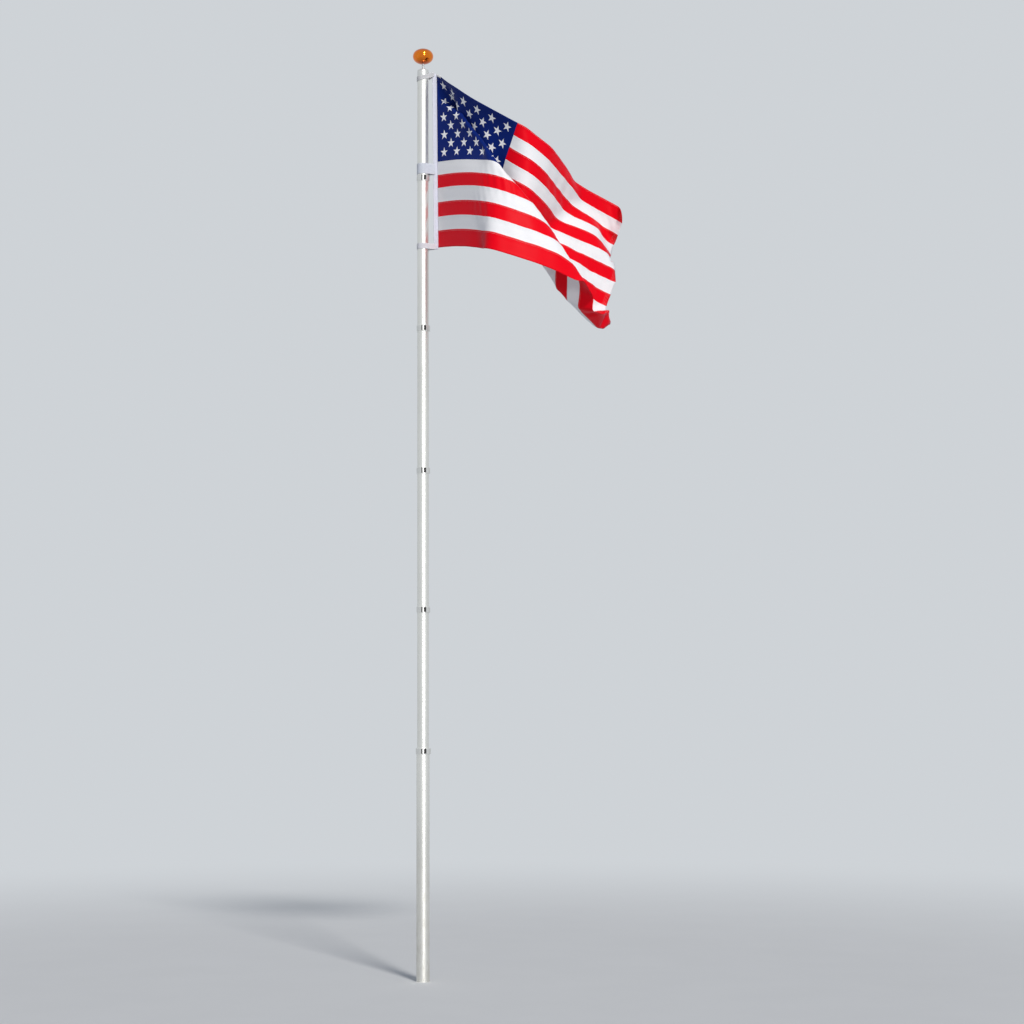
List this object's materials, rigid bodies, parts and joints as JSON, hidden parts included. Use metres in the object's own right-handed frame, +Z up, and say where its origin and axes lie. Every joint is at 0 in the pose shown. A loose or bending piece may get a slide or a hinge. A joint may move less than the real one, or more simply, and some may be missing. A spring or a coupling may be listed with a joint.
{
  "type": "flagpole",
  "caption": "Sectional aluminium flagpole with clamp collars at its joints, a flattened ball finial and a striped flag that swings round it on webbing straps.",
  "frame": {"origin": "middle of the pole's foot, at ground level", "axes": "+Z up along the pole, -Y towards the viewer of the picture, +X the way the flag flies"},
  "size_m": [1.0661, 0.6513, 4.669],
  "materials": {
    "pole_aluminium": "satin, drawn lengthwise",
    "collar_casting": "satin casting",
    "latch_black": "moulded, matt",
    "pin_steel": "brushed",
    "cap_aluminium": "turned, satin",
    "stem_steel": "brushed",
    "ball_copper": "polished, copper coloured",
    "strap_webbing": "woven webbing",
    "heading_tape": "woven tape",
    "flag_cloth": "satin nylon, striped, with a starred canton"
  },
  "bodies": {
    "pole": {"butt_tube": "pole_aluminium", "second_tube": "pole_aluminium", "third_tube": "pole_aluminium", "fourth_tube": "pole_aluminium", "fifth_tube": "pole_aluminium", "sixth_tube": "pole_aluminium", "first_collar": "collar_casting", "second_collar": "collar_casting", "third_collar": "collar_casting", "fourth_collar": "collar_casting", "fifth_collar": "collar_casting", "first_latch": "latch_black", "second_latch": "latch_black", "third_latch": "latch_black", "fourth_latch": "latch_black", "fifth_latch": "latch_black", "first_latch_pin": "pin_steel", "second_latch_pin": "pin_steel", "third_latch_pin": "pin_steel", "fourth_latch_pin": "pin_steel", "fifth_latch_pin": "pin_steel", "pole_cap": "cap_aluminium", "finial_stem": "stem_steel", "finial_ball": "ball_copper"},
    "flag": {"top_strap": "strap_webbing", "middle_strap": "strap_webbing", "bottom_strap": "strap_webbing", "heading": "heading_tape", "corner_patch": "strap_webbing", "flag_cloth": "flag_cloth"}
  },
  "joints": [
    {"name": "flag_swing", "type": "hinge", "parent": "pole", "child": "flag", "pos_m": [0, 0, 4], "axis": [0, 0, 1], "continuous": true}
  ]
}
